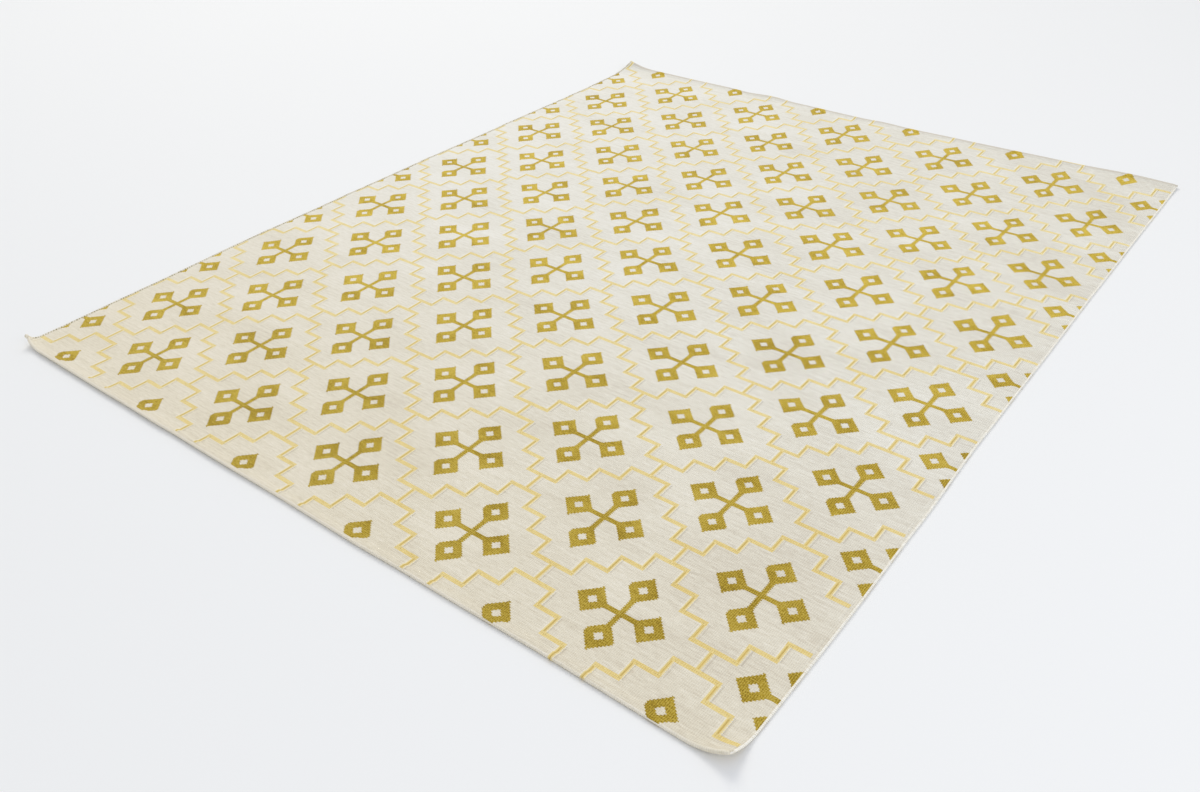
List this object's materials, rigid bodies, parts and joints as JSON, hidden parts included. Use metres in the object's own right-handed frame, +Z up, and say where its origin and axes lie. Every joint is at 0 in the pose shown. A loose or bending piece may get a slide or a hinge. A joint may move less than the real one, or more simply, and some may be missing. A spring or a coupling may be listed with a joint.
{
  "type": "flatweave rug",
  "caption": "Wool flatweave rug with a stepped lattice and cross motifs, turned end hems and corded selvedges, lying flat on a floor.",
  "frame": {"origin": "on the floor, under the middle of the rug's bounding box", "axes": "+Y along the warp, from one end hem to the other, the rug's longest side; +X across the rug, from selvedge to selvedge; +Z up from the floor"},
  "size_m": [2.5154, 3.0282, 0.0382],
  "materials": {
    "woven_wool": "matt hand-woven wool, cream ground with olive and pale yellow wefts"
  },
  "bodies": {
    "root": {"rug_sheet": "woven_wool"}
  },
  "joints": []
}
